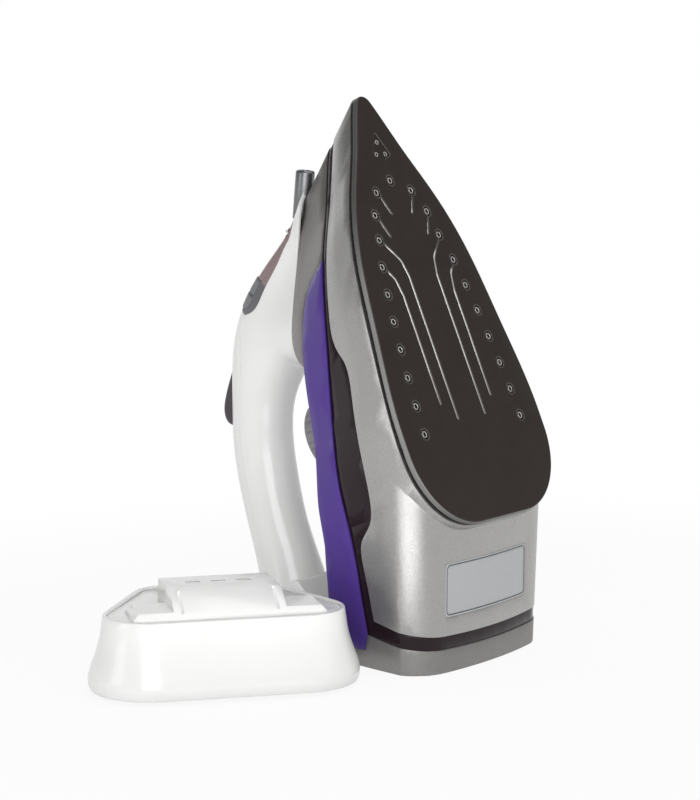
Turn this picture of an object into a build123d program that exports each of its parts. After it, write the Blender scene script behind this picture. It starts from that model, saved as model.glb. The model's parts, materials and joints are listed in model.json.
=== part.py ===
import os
from functools import lru_cache
from math import atan2, cos, radians, sin

from build123d import *

# Cordless steam iron standing on its heel, with its power base beside it. Sizes in mm, angles in degrees.
# The iron is drawn lying flat: x across, y from heel to tip, z up from the sole face.
# It is stood up at the end.

# Sole and stance
sole_length = 215.0
sole_half_width = 57.5
sole_thickness = 3.0
sole_corner_radius = 38.0
sole_tip_radius = 6.0
sole_tip_half_angle = 31.0
lean = 23.45
heel_drop = 71.2
heel_origin = 30.0
heel_face_depth = 6.6
heel_face_bulge = 2.8
heel_corner_radius = 17.0
heel_half_width = 53.4
heel_widening = 0.056

# Housing
wall = 2.6
seam = 0.15
lip_gap = 1.4
collar_overhang = 1.2
collar_height = 12.0
nose_rake = 0.72
trim_proud = 0.4
tank_inset = 0.5
heel_plate = 2.6
foot_depth = 69.0
cap_front_height = 10.0
cap_flank_height = 16.5
trim_foot = 8.5
band_width = 6.0

# Heater
casting_height = 10.0
casting_inset = 3.4
chamber_cover = 2.0
shield_thickness = 1.0
element_radius = 3.0
hole_radius = 1.3
dimple_radius = 3.6
dimple_depth = 0.8
dimple_taper = 50.0
groove_width = 1.6
groove_depth = 0.6
groove_taper = 35.0

# Handle and controls
handle_wall = 2.6
door_length = 31.3
door_start = 6.5
button_length = 8.6
control_clear = 0.4
lever_half_width = 7.5
dial_radius = 20.0
dial_height = 11.0
dial_boss_height = 14.0
dial_place = 67.0
shaft_radius = 2.5
running_clear = 0.05
nozzle_radius = 4.8
nozzle_length = 24.0
nozzle_bore = 0.6
nozzle_tip = (195.0, 46.7)
nozzle_rise = 28.8

# Power base
base_half_width = 77.5
base_depth = 98.0
base_back_half_width = 38.0
base_height = 36.0
base_flare = 8.6
base_wall = 2.5
base_front_radius = 30.0
base_back_radius = 24.0
base_place = (-135.8, 53.3)
base_turn = -39.0
foot_places = [(-38, 26), (38, 26), (-20, 80), (20, 80)]
foot_radius = 6.0
foot_height = 2.0
contact_pitch = 12.0

# Inner pieces
tank_wall = 2.2
tank_rear = 17.0
tunnel_radius = 5.5
tank_posts = [(30, 62), (-30, 62), (0, 122)]
shield_top = sole_thickness + casting_height + chamber_cover + shield_thickness
thermostat_height = 8.0
valve_place = 100.0
valve_radius = 6.0
fill_radius = 5.0
deck_level = 57.5
dial_base = deck_level + wall + dial_boss_height + 0.4
plate_width = 67.0
plate_height = 26.0
plate_shift = -3.5
plate_base = 26.5
plate_sink = 1.0
plate_corner = 2.5
socket_width = 46.0
socket_depth = 18.0
socket_height = 14.0
socket_place = 54.0
contact_row = [-contact_pitch, 0.0, contact_pitch]
fill_run = [(148, 74), (98, 39)]

panel_outline = [(0.0, 6.0), (4.0, 9.0), (8.0, 10.6), (14.0, 11.3), (20.0, 11.9), (30.0, 12.6), (42.0, 13.4),
                 (53.0, 13.8), (58.2, 12.4)]
panel_end = panel_outline[-1][0]
panel_rim = 1.6
throat_half = 7.0
lid_thickness = 2.0
hinge_place = 9.0
hinge_sink = -1.6
hinge_half = 5.5
knuckle_length = 3.5
hinge_pin_radius = 0.8
barrel_radius = 1.8
throat_low = -16.0
button_starts = [38.6, 48.0]
button_proud = 0.6
lens_proud = 0.9
button_low = -7.0
stem_radius = 1.8
stem_low = -26.0
pump_top = -11.5
pump_low = -34.0
pump_plate = 5.0
lever_pivot = (127.0, 113.0)
lever_lug = 12.0
lever_sweep = 2.0
pivot_radius = 1.5
bridge_height = 16.0
bridge_half_width = 19.0
insert_length = 6.0
lead_radius = 1.3
screw_places = [(0, 176), (34, 34), (-34, 34)]
deck_height = base_height - 1.0
wing_height = 4.5
wing_bevel = 2.5
pad_half = 44.5
pad_front = 12.4
pad_wing_depth = 26.0
pad_crest = 26.5
pad_back = 57.5
ramp_rise = 7.0
ramp_half = 26.0
groove_half = 22.0
line_depth = 0.8
line_half_width = 0.6
contact_place = 45.5
carrier_half = 19.0
carrier_depth = 12.0
gland_radius = 5.0

stand = Plane(origin=(0, 0, heel_drop), x_dir=(-1, 0, 0), z_dir=(0, cos(radians(lean)), -sin(radians(lean))))
lay = stand.location.inverse()
reach = 90.0


def standing(depth, height):
    # A side-view point given as depth behind the sole's rear edge and height over the floor.
    rise = height - heel_drop
    s, c = sin(radians(lean)), cos(radians(lean))
    return (depth * s + rise * c, depth * c - rise * s)


def across(face, half=reach):
    # A side-view face, drawn as (y, z), run across the whole width.
    return extrude(Plane.YZ * face, amount=half, both=True)


def upright(radius, height):
    # A round post that stands on its drawing plane.
    return Cylinder(radius, height, align=(Align.CENTER, Align.CENTER, Align.MIN))


def side_spline(points, *corners):
    # The part of the side view enclosed by a smooth curve and the straight corners that close it.
    return make_face([Spline(*points), Polyline(points[-1], *corners, points[0])])


# Parting lines of the housing, seen from the side.
band_low_front = [(240, 18), (186, 22.3), (144, 26.3), (117, 28.7), (104, 29.6), (97.5, 28), (91, 24.9),
                  (84, 24), (74, 25), (58.7, 26.7), (26, 30.6), (15, 36), (8.5, 45), (-2, 49.2), (-14, 51.6)]
band_low_heel = [standing(39.2, 23.8), standing(0, cap_front_height + band_width)]
band_high = [(240, 22), (184, 27.6), (145, 30.5), (112, 33.5), (66.7, 43.5), (24.5, 48.9), (-11.4, 56.8)]
band_high_heel = [standing(44, cap_flank_height), standing(35, 15), standing(0, cap_front_height)]
trim_top = [(144, 29), (139.6, 37.2), (134, 44.6), (126, 49), (110, 53.2), (71, 58.6), (28.8, 65),
            (13.6, 69.1)]
white_line = [(192, 48), (175, 51), (150, 58.5), (128, 62.3), (110, 62.5), (103, 59.5), (96.5, 53.5)]


def half_outline(points):
    tip = radians(sole_tip_half_angle)
    return Spline(*points, tangents=((0, 1), (-sin(tip), cos(tip))), tangent_scalars=(1, 1))


def plan_points(spread, shift, inset):
    # Half widths of the plan from mid sole to tip.
    tip = sole_length - sole_tip_radius + shift - 1.6 * inset
    side = sole_tip_radius * cos(radians(sole_tip_half_angle))
    shape = [(0.892, 120), (0.755, 80), (0.553, 51), (0.318, 27.5)]
    w = sole_half_width
    mid = [(w * share * spread - inset, sole_length - back + shift) for share, back in shape]
    return mid, (side * spread, tip + sole_tip_radius * sin(radians(sole_tip_half_angle)))


def close_plan(right, rear_edges):
    # Mirror the right side, add the tip arc and the rear edges.
    left = right.mirror(Plane.YZ)
    end = right @ 1
    nose = TangentArc(end, (-end.X, end.Y), tangent=right % 1)
    return make_face([right, nose, left] + rear_edges)


def sole_plan(inset):
    mid, tip = plan_points(1.0, 0, inset)
    half = sole_half_width - inset
    radius = sole_corner_radius - inset
    flat = half - radius
    start = (half, sole_corner_radius)
    right = half_outline([start, (half, 50)] + mid + [tip])
    corner = RadiusArc((flat, inset), start, -radius)
    rear = Line((-flat, inset), (flat, inset))
    return close_plan(right, [corner, corner.mirror(Plane.YZ), rear])


def body_plan(level, inset):
    # The housing's plan at one level: the sole's shape, raked back and drawn in with height.
    share = (level - sole_thickness - lip_gap) / 100
    spread = 1.022 - 0.10 * share - 0.13 * share * share
    shift = -nose_rake * 100 * share
    mid, tip = plan_points(spread, shift, inset)
    half = sole_half_width * spread - inset
    rear = -130
    start = (half - 2.0, rear)
    right = half_outline([start, (half, 20), (half, 45 + shift * 0.3)] + mid + [tip])
    back = Line((-start[0], rear), start)
    return Pos(0, 0, level) * close_plan(right, [back])


@lru_cache
def body_form(inset=0.0):
    low = sole_thickness + lip_gap
    levels = [low, low + 20, low + 44, low + 70, low + 100]
    return loft([body_plan(level, inset) for level in levels])


def heel_outline(height, inset):
    # Plan of the upright rear at one height: a bowed face with rounded corners, open towards the handle.
    side = heel_half_width + heel_widening * height - inset
    turn = side - heel_corner_radius + inset
    front = heel_face_depth + inset
    knee = front + heel_face_bulge
    arc = ThreePointArc((-turn, knee), (0, front), (turn, knee))
    right = TangentArc((turn, knee), (side, knee + heel_corner_radius), tangent=arc % 1)
    left = right.mirror(Plane.YZ)
    shoulder = knee + heel_corner_radius
    rest = Polyline((side, shoulder), (reach, 110), (reach, 300), (-reach, 300), (-reach, 110),
                    (-side, shoulder))
    return Pos(0, 0, height) * make_face([arc, right, left, rest])


def heel_prism(inset):
    # The upright rear of the housing, a little wider with height to run into the sides.
    return lay * loft([heel_outline(0, inset), heel_outline(320, inset)], ruled=True)


@lru_cache
def housing(inset):
    return body_form(inset) & heel_prism(inset)


@lru_cache
def below_band_low():
    front = Spline(*band_low_front)
    heel = Polyline(band_low_front[-1], *band_low_heel, (-60, -60), (240, -60), band_low_front[0])
    return across(make_face([front, heel]))


@lru_cache
def below_band_high():
    front = Spline(*band_high)
    heel = Polyline(band_high[-1], *band_high_heel, (-60, -60), (240, -60), band_high[0])
    return across(make_face([front, heel]))


@lru_cache
def below_trim_top(drop=0.0):
    curve = Spline(*trim_top)
    rear = [standing(foot_depth, 48), standing(foot_depth, -20), standing(-80, -20), (144, -60)]
    face = make_face([curve, Polyline(trim_top[-1], *rear, trim_top[0])])
    return Pos(0, -0.25 * drop, -0.97 * drop) * across(face)


@lru_cache
def below_white_line(drop=0.0):
    curve = Spline(*white_line)
    rest = Polyline(white_line[-1], (60, white_line[-1][1]), (60, -60), (240, -60), (240, 48), white_line[0])
    return Pos(0, 0, -drop) * across(make_face([curve, rest]))


@lru_cache
def cap_zone():
    # The foot of the heel, below the dark band and the ends of the side trims.
    points = [(0, cap_front_height), (35, 15), (44, cap_flank_height), (46, trim_foot), (120, trim_foot),
              (120, -30), (0, -30)]
    outline = [standing(*p) for p in points]
    return across(make_face(Polyline(*outline, close=True)))


def floor_cut():
    return lay * (Pos(0, 0, -100) * Box(600, 800, 200))


outer = housing(0.0)
inner = housing(wall)


def soleplate():
    plate = extrude(sole_plan(0), amount=sole_thickness)
    plate = fillet(plate.faces().sort_by(Axis.Z)[0].edges(), 0.9)
    rows = [(14.2, 165.4), (21.3, 154.1), (24.6, 141.6), (29.4, 128.3), (32.4, 114.7), (35, 101.3),
            (36.9, 87.6), (38.7, 73.7), (39.9, 59.8), (40.5, 46.0)]
    places = [(0, 171.1)] + [(s * x, y) for x, y in rows for s in (1, -1)]
    cuts = []
    for x, y in places:
        cuts.append(Pos(x, y, 0) * extrude(Circle(dimple_radius), amount=dimple_depth, taper=dimple_taper))
        cuts.append(Pos(x, y, 0) * Cylinder(hole_radius, 4 * sole_thickness))
    for side in (1, -1):
        inner_run = [(side * 24.6, 141.6), (side * 13.5, 130.3), (side * 11.4, 122), (side * 11.4, 49.5)]
        outer_run = [(side * 29.4, 128.3), (side * 23, 121.5), (side * 21.1, 113), (side * 21.1, 58)]
        for run in (inner_run, outer_run):
            path = FilletPolyline(*run, radius=6)
            cuts.append(extrude(trace(path, groove_width), amount=groove_depth, taper=groove_taper))
        for x, y in rows[:2]:
            tail = Line((side * x, y), (side * (x - 6), y - 12))
            cuts.append(extrude(trace(tail, groove_width), amount=groove_depth, taper=groove_taper))
    mark = make_face(Polyline((0, 197.5), (7.6, 184), (0, 181), (-7.6, 184), close=True))
    cuts.append(extrude(fillet(mark.vertices(), 1.5), amount=groove_depth))
    for x, y in [(0, 191), (3.6, 184.8), (-3.6, 184.8)]:
        cuts.append(Pos(x, y, 0) * Cylinder(hole_radius * 0.7, 4 * sole_thickness))
    return plate - cuts


def fill_path(radius):
    # Straight filling tube from below the lid to the tank.
    (y0, z0), (y1, z1) = fill_run
    run = Line((0, y0, z0), (0, y1, z1))
    return sweep(Plane(run @ 0, z_dir=run % 0) * Circle(radius), path=run)


nozzle = Plane(origin=(0, *nozzle_tip), x_dir=(1, 0, 0),
               z_dir=(0, -cos(radians(nozzle_rise)), sin(radians(nozzle_rise))))


def nozzle_rod(radius):
    return nozzle * upright(radius, nozzle_length)


def standing_box(x_size, y_size, z_size, x, y, z):
    # A box given in the standing pose by its size and the centre of its underside.
    return lay * (Pos(x, y, z + z_size / 2) * Box(x_size, y_size, z_size))


def case_rear():
    # The housing below the deck line, open inside.
    return (outer & below_trim_top()) - (inner & below_trim_top(wall))


def collar():
    ring = sole_plan(-collar_overhang) - sole_plan(casting_inset - 1.2)
    return (Pos(0, 0, sole_thickness + lip_gap) * extrude(ring, amount=collar_height)) & body_form()


def skirt_shell():
    shell = ((outer - inner) & below_band_low()) + (collar() - inner)
    return shell - plate_skin(0)


def plate_skin(shrink):
    # A blank plate let into the upright rear face, following its bow.
    frame = RectangleRounded(plate_width - 2 * shrink, plate_height - 2 * shrink, plate_corner - shrink)
    middle = Pos(plate_shift, heel_face_depth, plate_base + plate_height / 2)
    box = lay * (middle * Rot(90, 0, 0) * extrude(frame, amount=15, both=True))
    behind = lay * (Pos(0, plate_sink - shrink, 0) * (stand.location * outer))
    return (box & outer) - behind


def rating_plate():
    return plate_skin(seam)


@lru_cache
def heater_room():
    # Everything outside the inner faces of the housing, with room for the hot parts.
    return body_form(-4) - housing(wall + 0.5)


def tank_zone():
    return below_band_high() - below_band_low()


def water_tank():
    zone = tank_zone() & (Pos(0, tank_rear + reach * 2, 0) * Box(4 * reach, 4 * reach, 4 * reach))
    vessel = housing(tank_inset) & zone
    room = housing(tank_inset + tank_wall) & (Pos(0, 0, -tank_wall) * below_band_high())
    room = (room - (Pos(0, 0, tank_wall) * below_band_low()))
    room = room & (Pos(0, tank_rear + tank_wall + reach * 2, 0) * Box(4 * reach, 4 * reach, 4 * reach))
    tunnel = Pos(0, dial_place, 0) * Cylinder(tunnel_radius + tank_wall, 300)
    tank = (vessel - room) + (tunnel & vessel)
    for x, y in tank_posts:
        post = Pos(x, y, shield_top) * upright(4, 40)
        tank = tank + ((post & below_band_low()) + (post & vessel))
    tank = tank - Pos(0, dial_place, 0) * Cylinder(tunnel_radius, 300)
    return tank - fill_path(fill_radius + 0.1)


def heel_band():
    rear = Pos(0, tank_rear - reach * 2, 0) * Box(4 * reach, 4 * reach, 4 * reach)
    return (housing(tank_inset) - inner) & tank_zone() & rear


def side_trims():
    ring = (housing(-trim_proud) - inner) & below_trim_top()
    return (ring - below_band_high() - cap_zone()).solids().sort_by(Axis.X)


def front_cover():
    block = (outer & below_white_line()) - below_band_high() - below_trim_top()
    cover = block - (inner & below_white_line(wall))
    return cover - fill_path(fill_radius + 0.3) - nozzle_rod(nozzle_radius + running_clear)


def deck_cover():
    deck = (housing(wall + seam) & below_trim_top()) - below_trim_top(wall) - cap_zone()
    deck = deck - Pos(0, white_line[-1][0] + 2 * reach, 0) * Box(4 * reach, 4 * reach, 4 * reach)
    boss = Pos(0, dial_place, deck_level) * upright(dial_radius - 3, dial_boss_height + wall)
    return deck + boss - Pos(0, dial_place, 0) * Cylinder(shaft_radius + running_clear, 300)


def heel_cap():
    cup = case_rear() & cap_zone()
    slab = (outer & below_trim_top()) & standing_box(300, 400, heel_plate, 0, 0, 0)
    return cup + slab - standing_box(socket_width, socket_depth, 3 * heel_plate, 0, socket_place, -heel_plate)


def contact_block():
    block = standing_box(socket_width + 6, socket_depth + 6, socket_height, 0, socket_place, heel_plate)
    room = standing_box(socket_width, socket_depth, socket_height - 3, 0, socket_place, heel_plate)
    return block - room - heel_contacts()


def heel_contacts():
    blades = [standing_box(6, 1, socket_height, x, socket_place, heel_plate + 3) for x in contact_row]
    return Compound(blades)


def heater_casting():
    block = Pos(0, 0, sole_thickness) * extrude(sole_plan(casting_inset), amount=casting_height)
    room = Pos(0, 0, sole_thickness + 3) * extrude(sole_plan(casting_inset + 14), amount=casting_height)
    core = Pos(0, 88, sole_thickness + casting_height / 2) * Box(16, 110, casting_height)
    return block - room + core - element_path(element_radius) - heater_room()


def element_path(radius):
    # Hairpin heating element, bedded half deep in the casting's upper edge.
    level = sole_thickness + casting_height
    corners = [(-38, 22), (-38, 90), (-14, 172), (14, 172), (38, 90), (38, 22)]
    run = FilletPolyline(*[(x, y, level) for x, y in corners], radius=10)
    return sweep(Plane(run @ 0, z_dir=run % 0) * Circle(radius), path=run)


def chamber_cover_plate():
    level = sole_thickness + casting_height
    plate = Pos(0, 0, level) * extrude(sole_plan(casting_inset), amount=chamber_cover)
    return plate - element_path(element_radius) - heater_room()


def heating_element():
    return element_path(element_radius)


def heat_shield():
    level = sole_thickness + casting_height + chamber_cover
    plate = Pos(0, 0, level) * extrude(sole_plan(casting_inset - 1), amount=shield_thickness)
    plate = plate - element_path(element_radius + 0.3) - heater_room()
    plate = plate - Pos(0, dial_place, level) * Cylinder(13, 10)
    return plate - Pos(0, valve_place, level) * Cylinder(valve_radius + 0.3, 10)


def thermostat():
    level = sole_thickness + casting_height + chamber_cover
    stack = Pos(0, dial_place, level) * upright(9, thermostat_height)
    strip = Pos(0, dial_place - 6, level + 1) * Box(9, 12, 2)
    return stack + strip


def thermal_fuse():
    level = shield_top
    return Pos(24, 40, level + 3) * Rot(90, 0, 0) * Cylinder(3, 22)


def drip_valve():
    level = sole_thickness + casting_height + chamber_cover
    body = Pos(0, valve_place, level) * upright(valve_radius, 40)
    return body & below_band_low()


def dial_shaft():
    low = sole_thickness + casting_height + chamber_cover + thermostat_height
    high = dial_base + dial_height - 3
    return Pos(0, dial_place, low) * upright(shaft_radius, high - low)


def temperature_dial():
    knob = Pos(0, dial_place, dial_base) * upright(dial_radius, dial_height)
    knob = fillet(knob.edges().sort_by(Axis.Z)[-1], 2)
    notches = PolarLocations(dial_radius + 0.8, 24)
    for place in notches:
        knob = knob - Pos(0, dial_place, dial_base) * place * Cylinder(1.6, 4 * dial_height)
    return knob - dial_shaft()


def egg(y, z, angle, long_half, cross_half, shape):
    # One closed section of the handle: blunt crest, and shape gives its half widths
    # on the way to the finger side.
    crest, front, middle, rear = [share * cross_half for share in shape]
    b = long_half
    side = [(0.93 * b, crest), (0.55 * b, front), (0, middle), (-0.6 * b, rear)]
    points = [(b, 0)] + side + [(-b, 0)] + [(t, -w) for t, w in reversed(side)]
    turn = radians(angle)
    place = Plane(origin=(0, y, z), x_dir=(0, cos(turn), sin(turn)), z_dir=(0, -sin(turn), cos(turn)))
    return place * make_face(Spline(*points, periodic=True))


oval = (0.42, 0.84, 1.0, 0.8)
handle_run = [(144.7, 40, 0, 44.7, 36.5, (0.2, 0.38, 0.73, 1.0)),
              (137.8, 60, 0, 36.7, 30, (0.25, 0.44, 0.72, 1.0)),
              (132, 80, 4, 28.9, 23, (0.4, 0.58, 0.83, 1.0)), (124, 98, 28, 22, 18, (0.5, 0.76, 0.95, 0.93)),
              (105, 114.5, 51, 17, 15.6, (0.48, 0.84, 1.0, 0.82)), (91.8, 121.7, 65, 15.8, 14.8, oval),
              (75.9, 127.7, 74, 15.7, 14.6, oval), (56, 132.1, 80, 15.5, 14.5, oval),
              (35.4, 134.8, 84, 15.3, 14.5, oval), (20.4, 135.9, 85, 16, 15, oval),
              (7.4, 137.2, 82, 17, 16.5, oval), (-6, 139.8, 75, 18.5, 18.5, oval),
              (-18, 143.5, 70, 20, 20, oval)]


def handle_form(inset):
    sections = [egg(y, z, turn, b - inset, a - inset, shape) for y, z, turn, b, a, shape in handle_run]
    return loft(sections) - below_white_line(-seam) - floor_cut()


handle_outer = handle_form(0.0)
handle_inner = handle_form(handle_wall)

crest_start = (176.0, 57.0)
crest_angle = atan2(49.7, -33.7)
panel = Plane(origin=(0, *crest_start), x_dir=(0, cos(crest_angle), sin(crest_angle)),
              z_dir=(0, sin(crest_angle), -cos(crest_angle)))


def panel_box(start, end, half, low=-14.0, high=8.0):
    size = Box(end - start, 2 * half, high - low, align=(Align.MIN, Align.CENTER, Align.MIN))
    return panel * (Pos(start, 0, low) * size)


def panel_half(place):
    # Half width of the control panel at one place along the crest.
    spans = [(a, b) for a, b in zip(panel_outline, panel_outline[1:]) if place <= b[0]]
    (s0, w0), (s1, w1) = spans[0]
    return w0 + (w1 - w0) * (place - s0) / (s1 - s0)


def panel_prism(start, end, inset=0.0, low=-14.0, high=8.0):
    # A length of the control panel's outline, run through the handle along the panel's normal.
    stops = [start] + [s for s, w in panel_outline if start + 1 < s < end - 1] + [end]
    edge = [(s, panel_half(s) - inset) for s in stops]
    right = Spline(*edge) if len(edge) > 2 else Line(*edge)
    left = right.mirror(Plane.XZ)
    outline = make_face([right, Line(right @ 1, left @ 1), left, Line(left @ 0, right @ 0)])
    return panel * (Pos(0, 0, low) * extrude(outline, amount=high - low))


@lru_cache
def above_split():
    # The palm side of the handle, from behind the control panel to the heel.
    points = [(150, 112)]
    for y, z, turn, b, a, shape in handle_run[4:]:
        points.append((y + 0.3 * b * cos(radians(turn)), z + 0.3 * b * sin(radians(turn))))
    return across(side_spline(points, (-60, 190), (150, 190)))


def lever_profile(grow):
    # Side view of the thumb lever; grow widens it for the slot that it works in.
    g = grow
    top = [(131 + g, 117), (122.2, 123 + g), (116.2, 128.6 + g), (106.9, 136.8 + g), (100, 140.6 + g),
           (95.5, 140.8 + g), (91.3 - g, 136.5)]
    low = [(91.3 - g, 130.5), (112, 121.5), (124, 109.5), (131 + g, 109.5)]
    return make_face([Spline(*top), Polyline(top[-1], *low, top[0])])


def lever_slot():
    face = lever_profile(control_clear)
    swing = Pos(-lever_sweep, 0) * face
    return across(face + swing, lever_half_width + control_clear)


def pin(radius, length, y, z):
    return Pos(0, y, z) * Rot(0, 90, 0) * Cylinder(radius, length)


def steam_lever():
    lever = across(lever_profile(0), lever_half_width)
    long_edges = lever.edges().filter_by(lambda e: abs(e.center().X) > 0.9 * lever_half_width)
    lever = fillet(long_edges.filter_by(lambda e: e.center().Z > 124), 2.2)
    return lever - pin(pivot_radius + running_clear, 60, *lever_pivot)


def lever_pin():
    return pin(pivot_radius, 2 * lever_lug, *lever_pivot)


def handle_shell():
    return handle_outer - handle_inner


def handle_upper():
    top = (handle_shell() & above_split()) - panel_prism(-seam, panel_end)
    lugs = [Pos(s * (lever_half_width + control_clear + 1.6), *lever_pivot) * Box(2.4, 7, 9) for s in (1, -1)]
    top = top + [(lug + Pos(0, 2, 5) * lug) & handle_outer & above_split() for lug in lugs]
    top = top - lever_slot() - lever_pin() - lens_hole(0)
    return top.solids().sort_by(SortBy.VOLUME)[-1]


def handle_lower():
    low = (handle_shell() - above_split()) - panel_prism(-seam, panel_end)
    low = low - fill_path(fill_radius + 0.3) - nozzle_rod(nozzle_radius + running_clear)
    return low.solids().sort_by(SortBy.VOLUME)[-1]


def heel_bridge():
    # White foot that ties the handle's rear end to the heel.
    corner = bridge_height
    points = [(foot_depth, 0), (foot_depth, corner + 3), (82, corner), (100, corner + 1), (113, corner + 14),
              (125, 18), (125, 0)]
    outline = [standing(*p) for p in points]
    block = across(make_face(Polyline(*outline, close=True)), bridge_half_width)
    block = fillet(block.edges().filter_by(Axis.X).sort_by(Axis.Z)[1:5], 4)
    return (block - handle_outer).solids().sort_by(SortBy.VOLUME)[-1]


def lens_hole(shrink):
    return Pos(0, 136.5, 113) * Rot(-38, 0, 0) * Cylinder(3 - shrink, 16)


def pilot_lens():
    raised = Pos(*(panel.z_dir * lens_proud)) * handle_outer
    return (lens_hole(0.1) & raised) - handle_inner


def hinge_rod(radius, start, end):
    return panel * (Pos(hinge_place, start, hinge_sink) * Rot(-90, 0, 0) * upright(radius, end - start))


def control_bezel():
    frame = handle_shell() & panel_prism(0, panel_end - seam)
    frame = frame - panel_prism(door_start, door_start + door_length, panel_rim - control_clear)
    for start in button_starts:
        frame = frame - panel_prism(start, start + button_length, panel_rim)
    outer_end = hinge_half + knuckle_length
    for low, high in ((-outer_end, -hinge_half), (hinge_half, outer_end)):
        frame = frame + (hinge_rod(barrel_radius, low, high) & handle_outer)
    frame = frame - lid_pin() - nozzle_rod(nozzle_radius + running_clear)
    return frame.solids().sort_by(SortBy.VOLUME)[-1]


def filler_lid():
    skin = handle_outer - Pos(*(panel.z_dir * -lid_thickness)) * handle_outer
    start = hinge_place + barrel_radius + control_clear
    end = door_start + door_length - control_clear
    lid = skin & panel_prism(start, end, panel_rim)
    knuckle = hinge_half - 0.3
    lid = lid + (skin & panel_box(hinge_place, end, knuckle)) + hinge_rod(barrel_radius, -knuckle, knuckle)
    lid = lid - hinge_rod(hinge_pin_radius + running_clear, -40, 40)
    return lid.solids().sort_by(SortBy.VOLUME)[-1]


def lid_pin():
    half = hinge_half + knuckle_length - 0.9
    return hinge_rod(hinge_pin_radius, -half, half)


def filler_throat():
    start, end = hinge_place + 4, door_start + door_length - 1
    outside = panel_box(start, end, throat_half, throat_low, 8)
    inside = panel_box(start + 1.5, end - 1.5, throat_half - 1.5, throat_low - 1, 8)
    under = Pos(*(panel.z_dir * -(lid_thickness + 0.4))) * handle_outer
    return ((outside - inside) & under) - fill_path(fill_radius + 0.1)


def fill_tube():
    tube = fill_path(fill_radius) - fill_path(fill_radius - 1.2)
    return tube - panel_box(-20, 80, 20, throat_low, 30)


def push_button(start):
    raised = Pos(*(panel.z_dir * button_proud)) * handle_outer
    first, last = start + control_clear, start + button_length - control_clear
    return raised & panel_prism(first, last, panel_rim + control_clear, button_low, 8)


def plunger(start):
    middle = start + button_length / 2
    return panel * (Pos(middle, 0, stem_low) * upright(stem_radius, button_low - stem_low))


def pump_block():
    first, last = button_starts
    block = panel_box(first, last + button_length, reach, pump_top - pump_plate, pump_top) & handle_inner
    centres = [start + button_length / 2 for start in button_starts]
    for place in centres:
        block = block + panel * (Pos(place, 0, pump_low) * upright(stem_radius + 2, pump_top - pump_low))
    for place in centres:
        block = block - panel * (Pos(place, 0, pump_low + 2) * upright(stem_radius + running_clear, 60))
    return block


def spray_nozzle():
    rod = nozzle_rod(nozzle_radius)
    rod = chamfer(rod.edges().sort_by(Axis.Y)[-1], 0.8)
    return rod - nozzle_core()


def nozzle_core():
    return nozzle * Cylinder(nozzle_radius - 2, 2 * insert_length)


def nozzle_insert():
    plug = nozzle * Pos(0, 0, 0.6) * upright(nozzle_radius - 2, insert_length - 0.6)
    return plug - nozzle * Cylinder(nozzle_bore, 60)


def power_leads():
    leads = []
    for side in (1, -1):
        start = lead_start(side)
        run = FilletPolyline(start, (side * 12, 0, 38), (side * 16, 20, 21), (side * 7, 56, 20.5), radius=6)
        leads.append(sweep(Plane(run @ 0, z_dir=run % 0) * Circle(lead_radius), path=run))
    return Compound(leads)


def lead_start(side):
    y, z = standing(socket_place, heel_plate + 3 + socket_height + 0.3)
    return (side * contact_pitch, y, z)


def sole_screws():
    level = shield_top
    heads = []
    for x, y in screw_places:
        heads.append(Pos(x, y, level) * upright(4, 2.4))
    return Compound(heads)


# Power base, drawn with its front wall along x and its depth along y.
base_set = Location((base_place[0], base_place[1], 0), (0, 0, base_turn))


def base_plan(inset):
    front = base_half_width - inset
    back = base_back_half_width - inset
    corners = [(-front, inset), (front, inset), (back, base_depth - inset), (-back, base_depth - inset)]
    outline = make_face(Polyline(*corners, close=True))
    low = outline.vertices().sort_by(Axis.Y)[:2]
    outline = fillet(low, base_front_radius - inset)
    return fillet(outline.vertices().sort_by(Axis.Y)[-2:], base_back_radius - inset)


def base_form(inset):
    steps = [(foot_height, 1.2), (foot_height + 4, 0), (base_height * 0.42, 0.3 * base_flare),
             (base_height * 0.7, 0.75 * base_flare), (base_height, base_flare)]
    return loft([Pos(0, 0, z) * base_plan(flare + inset) for z, flare in steps])


def base_shell():
    return base_form(0) - base_form(base_wall) - gland_rod(gland_radius)


def base_bottom():
    plate = Pos(0, 0, foot_height) * extrude(base_plan(base_wall + seam), amount=base_wall)
    return plate & base_form(base_wall + seam)


def base_feet():
    return Compound([Pos(x, y, 0) * upright(foot_radius, foot_height) for x, y in foot_places])


def base_deck():
    lid = Pos(0, 0, deck_height) * extrude(base_plan(base_flare + base_wall + seam), amount=-base_wall)
    return lid - Pos(0, contact_place, deck_height) * Box(2 * carrier_half, carrier_depth, 20)


def docking_pad():
    # Low wings with a bevelled front, and a ramp in the middle that rises to the contact plateau.
    rim = deck_height + wing_height
    wings = Pos(0, pad_front + pad_wing_depth / 2) * Rectangle(2 * pad_half, pad_wing_depth)
    wings = extrude(wings, amount=wing_height)
    wings = chamfer(wings.faces().sort_by(Axis.Z)[-1].edges(), wing_bevel)
    wings = Pos(0, 0, deck_height) * wings
    top = rim + ramp_rise
    outline = [(pad_front + wing_bevel, deck_height), (pad_front + wing_bevel, rim), (pad_crest, top),
               (pad_back, top), (pad_back + 3, deck_height)]
    wedge = across(make_face(Polyline(*outline, close=True)), ramp_half)
    pad = (wings + wedge) & extrude(base_plan(base_flare + base_wall + 0.5), amount=2 * base_height)
    cut = [(0, rim - line_depth), (pad_front + wing_bevel, rim - line_depth), (pad_crest, top - line_depth),
           (pad_crest, 90), (0, 90)]
    line = across(make_face(Polyline(*cut, close=True)), line_half_width)
    pad = pad - [Pos(x, 0, 0) * line for x in (-groove_half, groove_half)]
    room = 2 * (ramp_rise + wing_height - 2)
    pad = pad - Pos(0, contact_place, deck_height) * Box(2 * carrier_half, carrier_depth, room)
    return pad - [Pos(x, contact_place, top) * Box(7, 3, 20) for x in contact_row]


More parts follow.
